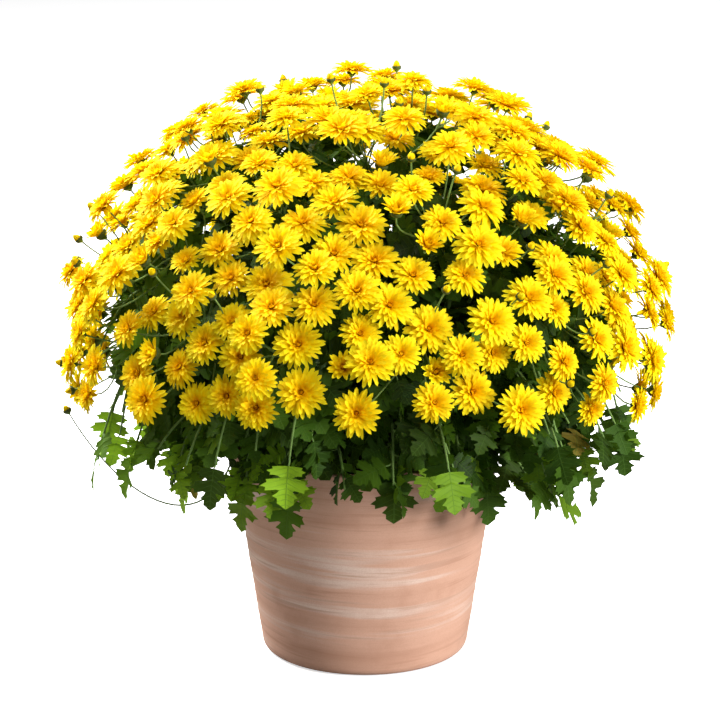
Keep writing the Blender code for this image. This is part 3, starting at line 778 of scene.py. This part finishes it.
stem_green, tree, shader = new_material("stem_skin", Roughness=0.6, Specular_IOR_Level=0.2)
look = look_values(tree)
colour = mix_colour(tree, look[0], STEM_GREEN, STALK_GREEN)
colour, streaks = mottled(tree, colour, STEM_GREEN, 180.0, 2.0, 0.40, 0.75, 0.45)
colour = mix_colour(tree, eased(tree, look[1], 0.5, 1.0), colour, CALYX_OLIVE)
cover(tree, shader, colour, streaks, 0.3, 0.0003)


def bent(bends, count, start=0.0):
    """Points along a curve that its two ends and two bends give."""
    return [np.array(bezier(*bends, t)) for t in np.linspace(start, 1, count)]


def smooth_line(points):
    """A smooth curve that arches from the first of three points through the second to the last."""
    start, crest, end = vectors(*points)
    return curve(start, 2 * crest - (start + end) / 2, end, SHOOT_STEPS)


def nearest_on(line, point):
    """The nearest of a line's points to a point."""
    return line[np.argmin(np.linalg.norm(line - np.array(point), axis=1))]


def more_shoots(stem, draw):
    """A low stem's further side shoots. The first few hang close round the rim, the others reach wide."""
    aside = stem["normal"].x
    count = FEWEST_SHOOTS + int(SIDE_SHOOTS * abs(aside)) + (LEFT_SHOOTS if aside < -0.3 else 0)
    courses = []
    for index in range(count):
        near_rim = index < RIM_SHOOTS
        start, _ = along(stem["path"], draw.uniform(0.16, 0.34) if near_rim else draw.uniform(0.42, 0.92))
        out = outwards(start)
        out.rotate(Quaternion(UP, draw.uniform(0.05, 0.55) * (1 if index % 2 else -1)))
        if near_rim:
            reach = draw.uniform(0.142, 0.180)
            drop = draw.uniform(0.000, 0.020)
        else:
            reach = draw.uniform(0.165, 0.222 + 0.026 * abs(out.x))
            drop = draw.uniform(0.010, 0.086) * abs(out.x)
        width = reach - math.hypot(start.x, start.y)
        crest = start + out * (width * 0.55) + UP * draw.uniform(0.012, 0.026)
        courses.append([start, crest, start + out * width - UP * drop])
    return courses


def leaves_up_stem(stem, draw):
    """Leaves that fill the plant's inside, up a stem and round its fork: spot, direction, face, length."""
    leaves = []
    for index in range(RISING_LEAVES):
        spot, run = along(stem["path"], draw.uniform(0.32, 0.99))
        out = turned_out(run, index * GOLDEN_ANGLE + draw.uniform(-0.3, 0.3))
        direction = (out + run * 0.5 + UP * 0.1).normalized()
        leaves.append((spot, direction, run + UP * 0.5, draw.uniform(0.030, 0.046)))
    for index in range(FORK_LEAVES):
        spot, run = along(stem["axis"], draw.uniform(0.0, 0.6))
        out = turned_out(stem["normal"], index * GOLDEN_ANGLE + draw.uniform(-0.3, 0.3))
        spot = spot + out * draw.uniform(0.000, 0.026)
        direction = (out + run * 0.15).normalized()
        leaves.append((spot, direction, stem["normal"], draw.uniform(0.034, 0.048)))
    return leaves


def leaves_along(course, draw):
    """Leaves along a side shoot, on its two sides in turn. Some hang with their face to the side."""
    length = sum((b - a).length for a, b in zip(course, course[1:]))
    count = int(length / LEAF_SPACING)
    leaves = []
    for index in range(count):
        spot, run = along(course, 0.14 + 0.84 * (index + draw.uniform(0, 0.5)) / count)
        out = outwards(spot)
        hand = UP.cross(out) * (1 if index % 2 else -1)
        if draw.uniform() < 0.30 + 0.30 * abs(out.x):
            direction = run * draw.uniform(0.1, 0.9) + hand * 0.25 - UP * draw.uniform(0.1, 1.0)
            face = hand + out * draw.uniform(-0.2, 0.6) + UP * 0.4
        else:
            direction = hand * draw.uniform(0.4, 1.1) + run * 0.5 + UP * draw.uniform(-0.7, 0.25)
            face = out * draw.uniform(0.4, 1.0) + UP * 0.6
        leaves.append((spot, direction.normalized(), face, draw.uniform(0.024, 0.041)))
    return leaves


for k, stem in enumerate(stems):
    draw = np.random.default_rng(100 + k)
    foot, mouth = vectors(*stem["path"][:2])
    line = [foot, foot * 0.4 + mouth * 0.6, *bent(stem["bends"], STEM_POINTS, 0.03)]
    thick = STEM_RADIUS * np.linspace(1, 1 - STEM_TAPER, len(line))
    parts = [tube(line, thick, 10, (0.25, 0.5, 0.5))]
    lines = [line]
    courses = [course for course, _ in stem["shoots"]]
    if courses:
        courses += more_shoots(stem, draw)
    for course in courses:
        shoot = smooth_line(course)
        lines.append(shoot)
        thick = np.linspace(*SHOOT_RADII, len(shoot))
        parts.append(tube(shoot, thick, 6, (0.55, 0.5, 0.5)))
    points = np.concatenate(lines)
    for leaf in stem["leaves"]:
        start = nearest_on(points, leaf["foot"])
        parts += leaf_parts(draw, start, leaf, 0, leaf_look(draw, leaf["foot"]), outer_leaf)
    inner = leaves_up_stem(stem, draw)
    outer = [leaf for course in courses for leaf in leaves_along(course, draw)]
    for index, (spot, direction, face, length) in enumerate(inner + outer):
        form = inner_leaf if index < len(inner) else small_leaf if length < SMALL_LEAF else outer_leaf
        parts += added_leaf(draw, Vector(nearest_on(points, spot)), direction, face, length, 0, form)
    leafy = mesh_object(f"leafy_stem_{k + 1:02d}", parts, [leaf_green, stem_green])
    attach(leafy, "root")
    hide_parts(f"stem_{k + 1:02d}")


# Flower sprays: each stem's fork carries a spray of thin stalks with small leaves. Each stalk ends in a
# green calyx that holds a double yellow bloom, a half-open one or a round bud. Smaller late blooms fill the
# widest gaps.
LATE_BLOOMS = 38
LATE_RADII = (0.0140, 0.0172)
LATE_DEPTH = 0.012
LATE_LOWEST = math.radians(80)
CROWN_SPOTS = 900
FORK_RADII = (0.0026, 0.0022, 0.0017)
STALK_RADII = (0.0009, 0.0007)
STALK_POINTS = 10
BLOOM_GROWTH = 0.07
TOP_GROWTH = 0.09
WIDE_BLOOM = 0.021
OUTER_PETAL = np.array([(0.0, 0.40), (0.32, 0.82), (0.64, 1.00), (0.90, 0.68), (1.0, 0.08)])
INNER_PETAL = np.array([(0.0, 0.42), (0.40, 0.92), (0.78, 0.88), (1.0, 0.12)])
# A flower's rings of petals from the outside in, each as the petals' count, length as a share of the
# flower's radius, base, lift, first and last slope in degrees, width and painted centre shade, which darkens
# the inner rings towards orange and brown.
PETALS = {
    "bloom": [
        (24, 1.01, 0.0022, 0.0033, 24, -16, 0.0043, 0.00),
        (20, 0.91, 0.0022, 0.0040, 34, 0, 0.0042, 0.08),
        (16, 0.76, 0.0022, 0.0045, 48, 18, 0.0042, 0.20),
        (11, 0.60, 0.0022, 0.0050, 60, 36, 0.0036, 0.40),
        (9, 0.44, 0.0016, 0.0052, 70, 62, 0.0030, 0.60),
        (7, 0.30, 0.0016, 0.0052, 80, 104, 0.0024, 0.80),
    ],
    "cup": [
        (16, 1.14, 0.0018, 0.0030, 64, 36, 0.0042, 0.05),
        (13, 1.02, 0.0018, 0.0035, 72, 54, 0.0038, 0.20),
        (10, 0.84, 0.0018, 0.0040, 80, 76, 0.0032, 0.40),
        (7, 0.66, 0.0018, 0.0040, 88, 104, 0.0026, 0.60),
    ],
    "bud": [
        (11, 1.6250, 0.0028, 0.0024, 52, 152, 0.0030, 0.15),
        (8, 1.3125, 0.0028, 0.0038, 80, 165, 0.0026, 0.30),
    ],
}
# Rings of the calyx and of a bloom's eye, as radii and heights, with the look of each ring. The eye is
# painted brown as shade at the flower's centre.
CALYX = {
    "bloom": [(0.0013, -0.0012), (0.0021, 0.0000), (0.0040, 0.0014), (0.0051, 0.0032), (0.0046, 0.0040)],
    "cup": [(0.0012, -0.0012), (0.0020, 0.0000), (0.0044, 0.0018), (0.0058, 0.0050), (0.0054, 0.0066)],
    "bud": [(0.0012, -0.0010), (0.0018, 0.0000), (0.0035, 0.0014), (0.0040, 0.0032), (0.0036, 0.0042)],
}
CALYX_LOOKS = [(0.9, 0.5, 0.5), (0.8, 0.6, 0.5), (0.5, 0.85, 0.5), (0.3, 1.0, 0.5), (0.3, 0.9, 0.5)]
EYE = [(0.0021, 0.0052), (0.0021, 0.0066), (0.0014, 0.0075), (0.0003, 0.0073)]
EYE_LOOKS = [(0.3, 1.0), (0.4, 1.0), (0.5, 0.86), (0.6, 0.8)]
LONG_STALK_RADII = (0.0009, 0.0006)
LONG_STALK_POINTS = 25
LONG_STALK = (
    (-0.112, -0.030, 0.204), (-0.135, -0.034, 0.096), (-0.215, -0.034, 0.140), (-0.262, -0.034, 0.226),
)
# Petal colours: the plain body yellow is the petals' own. The lighter tip colour is painted light. The
# deeper orange is painted shade at the petals' bases and towards the centre, and is also the deeper tone
# that some petals have at random.
PETAL_LIT_TIP = (1.000, 0.890, 0.014, 1)
PETAL_BODY = (1.000, 0.785, 0.000, 1)
PETAL_DEEP_TONE_AND_SHADE = (0.930, 0.500, 0.000, 1)
# Painted shade: the brown of the eye at a bloom's centre.
PETAL_EYE_SHADE = (0.330, 0.105, 0.006, 1)


def petal_ring(draw, count, length, base, lift, start, end, width, centre_shade, tone):
    """A ring of petals round the Z axis: grooved strips that start at one slope and end at another."""
    rows, shape = (OUTER_PETAL if centre_shade < 0.3 else INNER_PETAL).T
    turns = (np.arange(count) + draw.uniform(-0.25, 0.25, count) + draw.uniform()) * (math.tau / count)
    lengths = length * draw.uniform(0.90, 1.05, count)
    first = math.radians(start) + draw.normal(0, 0.06, count)
    last = math.radians(end) + draw.normal(0, 0.14, count)
    slopes = first[:, None] + (last - first)[:, None] * rows
    steps = np.diff(rows, prepend=0) * lengths[:, None]
    outs = base + np.cumsum(np.cos(slopes) * steps, axis=1)
    ups = lift + np.cumsum(np.sin(slopes) * steps, axis=1)
    halves = shape * (width / 2) * draw.uniform(0.88, 1.10, count)[:, None]
    radial = np.stack([np.cos(turns), np.sin(turns), np.zeros(count)], axis=-1)[:, None]
    tangent = np.stack([-np.sin(turns), np.cos(turns), np.zeros(count)], axis=-1)[:, None]
    axis = np.array([0.0, 0.0, 1.0])
    normal = radial * -np.sin(slopes)[..., None] + axis * np.cos(slopes)[..., None]
    twist = (draw.normal(0, 0.25, count)[:, None] * rows)[..., None]
    side = tangent * np.cos(twist) + normal * np.sin(twist)
    sway = (draw.normal(0, 0.05, count)[:, None] * lengths[:, None] * rows**2)[..., None]
    middle = radial * outs[..., None] + axis * ups[..., None] + tangent * sway
    raised = normal * (halves * 0.34)[..., None]
    out = side * halves[..., None]
    points = np.stack([middle - out + raised, middle, middle + out + raised], axis=2)
    look = np.zeros(points.shape)
    look[..., 0] = rows[None, :, None]
    look[..., 1] = np.clip(tone + draw.normal(0, 0.16, count), 0, 1)[:, None, None]
    # Painted shade: the third look value darkens the inner rings towards the flower's centre.
    look[..., 2] = centre_shade
    uv = np.zeros(points.shape[:3] + (2,))
    uv[..., 0] = (np.arange(3) / 2)[None, None]
    uv[..., 1] = rows[None, :, None]
    offsets = np.arange(count) * (len(rows) * 3)
    faces = (grid_faces(len(rows), 3)[None] + offsets[:, None, None]).reshape(-1, 4)
    return part_of(points, faces, 0, look.reshape(-1, 3), uv)


def lathed(rings, sides, material, look, ripple=0.0, ripples=1):
    """A surface of rings round the Z axis, each with a radius, a height and its own look."""
    turns = np.arange(sides) * math.tau / sides
    points, looks = [], []
    for (radius, height), one in zip(rings, look):
        reach = radius * (1 + ripple * np.cos(turns * ripples))
        level = np.full(sides, height)
        points.append(np.stack([reach * np.cos(turns), reach * np.sin(turns), level], axis=-1))
        looks.append(np.tile(one, (sides, 1)))
    return part_of(points, grid_faces(len(rings), sides, closed=True), material, np.concatenate(looks))


def flower_head(draw, flower, basis, foot):
    """A flower's petals, centre and calyx, made round the Z axis, turned to a basis and set on a foot."""
    kind = flower["kind"]
    size = flower["radius"]
    if kind != "bud":
        size *= 1 + BLOOM_GROWTH + TOP_GROWTH * max(flower["facing"].z, 0)
    tone = draw.uniform(0.25, 0.85)
    tilt, widen = (draw.uniform(-9, 9), size / WIDE_BLOOM) if kind == "bloom" else (0, 1)
    parts = [lathed(CALYX[kind], 14, STALK_SKIN, CALYX_LOOKS, ripple=0.05, ripples=7)]
    for count, share, base, lift, start, end, width, centre_shade in PETALS[kind]:
        length = size * share - (base if kind == "bloom" else 0)
        parts.append(petal_ring(draw, count, length, base, lift, start + tilt, end + tilt,
                                width * widen, centre_shade, tone))
    if kind == "bloom":
        parts.append(lathed(EYE, 10, 0, [(share, tone, centre_shade) for share, centre_shade in EYE_LOOKS]))
    for part in parts:
        part["points"] = part["points"] @ basis + np.array(foot)
    return parts


petal_yellow, tree, shader = new_material("petal_blade", Roughness=0.65, Specular_IOR_Level=0.12)
look = look_values(tree)
# Painted light and shade: each petal goes from a deeper orange at its base, which is painted shade, to a
# lighter tip, which is painted light.
colour = mix_colour(tree, eased(tree, look[0], 0.00, 0.38), PETAL_DEEP_TONE_AND_SHADE, PETAL_BODY)
colour = mix_colour(tree, eased(tree, look[0], 0.55, 1.00), colour, PETAL_LIT_TIP)
colour = mix_colour(tree, eased(tree, look[1], 0.00, 1.00, 0.34, 0.0), colour, PETAL_DEEP_TONE_AND_SHADE)
# Painted shade: the inner rings and the eye darken to orange and then brown towards the flower's centre.
colour = mix_colour(tree, eased(tree, look[2], 0.10, 0.80, 0.0, 0.62), colour, PETAL_DEEP_TONE_AND_SHADE)
colour = mix_colour(tree, eased(tree, look[2], 0.80, 1.00, 0.0, 0.85), colour, PETAL_EYE_SHADE)
grooves = maths(tree, "SINE", maths(tree, "MULTIPLY", blade_place(tree)["X"], 26.0))
cover(tree, shader, colour, grooves, 0.25, 0.0002)
let_light_through(tree, shader, colour, 0.30)

late_draw = random.Random(SEED + 1)
crown_spots = [spiral(CROWN_SPOTS, index) for index in range(CROWN_SPOTS)]
late_spots = [on_crown(angle, azimuth, LATE_DEPTH) for angle, azimuth in crown_spots if angle < LATE_LOWEST]
spots = np.array([spot for spot, _ in late_spots])
feet = np.array([f["foot"] for stem in stems for f in stem["flowers"] if f["kind"] != "bud"])
clear = np.linalg.norm(spots[:, None] - feet[None], axis=2).min(axis=1)
late_blooms = [[] for _ in stems]
for _ in range(LATE_BLOOMS):
    spot, normal = late_spots[int(np.argmax(clear))]
    clear = np.minimum(clear, np.linalg.norm(spots - np.array(spot), axis=1))
    lean = Vector([late_draw.uniform(-0.2, 0.2) for _ in range(3)])
    bloom = {"kind": "bloom", "foot": spot, "radius": late_draw.uniform(*LATE_RADII)}
    bloom["facing"] = (normal + UP * 0.14 + lean).normalized()
    nearest = min(range(STEMS), key=lambda k: (stems[k]["axis"][1] - spot).length)
    late_blooms[nearest].append(bloom)

sweep = [Vector(p) for p in LONG_STALK]
lowest_left = min(range(STEMS), key=lambda k: (stems[k]["path"][1] - sweep[0]).length)
for k, stem in enumerate(stems):
    draw = np.random.default_rng(200 + k)
    fork, end = stem["axis"]
    run = (end - fork).normalized()
    axis = [fork, fork.lerp(end, 0.5), end]
    parts = [tube(axis, FORK_RADII, 8, (0.35, 0.5, 0.5))]
    for rank, flower in enumerate(stem["flowers"] + late_blooms[k]):
        root = stalk_root(stem, min(rank, len(stem["flowers"]) - 1))
        foot = flower["foot"]
        facing = (flower["facing"] + UP * 0.20).normalized()
        reach = (foot - root).length
        bends = (root, root + run * reach * 0.30, foot - facing * reach * 0.38, foot)
        stalk = bent(bends, STALK_POINTS)
        thick = np.linspace(*STALK_RADII, STALK_POINTS)
        parts.append(tube(stalk, thick, 5, (draw.uniform(0.55, 1.0), 0.5, 0.5)))
        across = np.array(facing.orthogonal().normalized())
        turn = Quaternion(facing, draw.uniform(0, math.tau))
        basis = np.array([turn @ Vector(across), turn @ Vector(np.cross(facing, across)), facing])
        parts += flower_head(draw, flower, basis, foot)
        shares = [draw.uniform(0.18, 0.34), draw.uniform(0.42, 0.62)]
        if facing.z > 0.6:
            shares.append(draw.uniform(0.64, 0.82))
        for share in shares:
            place = int(share * (STALK_POINTS - 1))
            spot = Vector(stalk[place])
            way = Vector(stalk[place + 1] - stalk[place]).normalized()
            out = turned_out(way, draw.uniform(0, math.tau))
            direction = (out + way * 0.45).normalized()
            length = draw.uniform(0.032, 0.046) * (1.15 - share * 0.9)
            parts += added_leaf(draw, spot, direction, way + UP * 0.3, length, 2, inner_leaf)
    if k == lowest_left:
        stalk = bent(sweep, LONG_STALK_POINTS)
        thick = np.linspace(*LONG_STALK_RADII, LONG_STALK_POINTS)
        parts.append(tube(stalk, thick, 6, (0.7, 0.7, 0.5)))
        facing = (sweep[3] - sweep[2]).normalized()
        across = facing.orthogonal().normalized()
        bud = {"kind": "bud", "radius": BUD_RADIUS * 0.85, "facing": facing}
        parts += flower_head(draw, bud, np.array([across, facing.cross(across), facing]), stalk[-1])
    spray = mesh_object(f"flower_spray_{k + 1:02d}", parts, [petal_yellow, stem_green, leaf_green])
    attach(spray, "root")
    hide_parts(f"spray_{k + 1:02d}")


# Floor, lights and camera: a plain white floor under an even white sky, both brighter to the camera than to
# the plant. A soft light comes from the upper left behind the plant, a weaker one from the right and a third
# from high in front. A long lens looks on from a little above.
FLOOR_WHITE = (0.90, 0.90, 0.90, 1)
FLOOR_BOUNCE = (0.24, 0.24, 0.24, 1)
FLOOR_GLOW = 0.70
SKY_LIGHT = 0.17
SKY_SEEN = 1.0
LIGHTS = [
    ("upper_left", (-1.7, 1.1, 2.2), (0, 0, 0.35), 1.5, 205),
    ("right_front", (2.5, -1.5, 1.1), (0, 0, 0.2), 1.2, 110),
    ("front", (0.8, -2.0, 3.3), (0, 0, 0.3), 1.0, 66),
]
CAMERA_LENS = 140
CAMERA_DISTANCE = 2.5
CAMERA_ELEVATION = math.radians(15)
CAMERA_TARGET = Vector((-0.0045, 0, 0.2656))
bpy.ops.mesh.primitive_plane_add(size=40, location=(0, 0, -0.0005))
floor = bpy.context.object
floor.name = "floor"
white, tree, shader = new_material("floor_white", Roughness=0.9, Emission_Color=FLOOR_WHITE)
seen = add(tree, "ShaderNodeLightPath").outputs["Is Camera Ray"]
tree.links.new(maths(tree, "MULTIPLY", seen, FLOOR_GLOW), shader.inputs["Emission Strength"])
tree.links.new(mix_colour(tree, seen, FLOOR_BOUNCE, FLOOR_WHITE), shader.inputs["Base Color"])
floor.data.materials.append(white)

scene = bpy.context.scene
scene.view_settings.view_transform = "Standard"
world = bpy.data.worlds.new("studio")
world.use_nodes = True
seen = world.node_tree.nodes.new("ShaderNodeLightPath").outputs["Is Camera Ray"]
sky = world.node_tree.nodes["Background"]
sky.inputs["Color"].default_value = (1, 1, 1, 1)
sky_strength = eased(world.node_tree, seen, 0.0, 1.0, SKY_LIGHT, SKY_SEEN)
world.node_tree.links.new(sky_strength, sky.inputs["Strength"])
scene.world = world

for name, place, target, size, power in LIGHTS:
    lamp = bpy.data.lights.new(name, "AREA")
    lamp.shape = "DISK"
    lamp.size = size
    lamp.energy = power
    light = new_object(name, lamp)
    light.location = place
    light.rotation_euler = (Vector(target) - Vector(place)).to_track_quat("-Z", "Y").to_euler()

lens = bpy.data.cameras.new("camera")
lens.lens = CAMERA_LENS
camera = new_object("camera", lens)
back = Vector((0, -math.cos(CAMERA_ELEVATION), math.sin(CAMERA_ELEVATION)))
camera.location = CAMERA_TARGET + back * CAMERA_DISTANCE
camera.rotation_euler = (-back).to_track_quat("-Z", "Y").to_euler()
scene.camera = camera
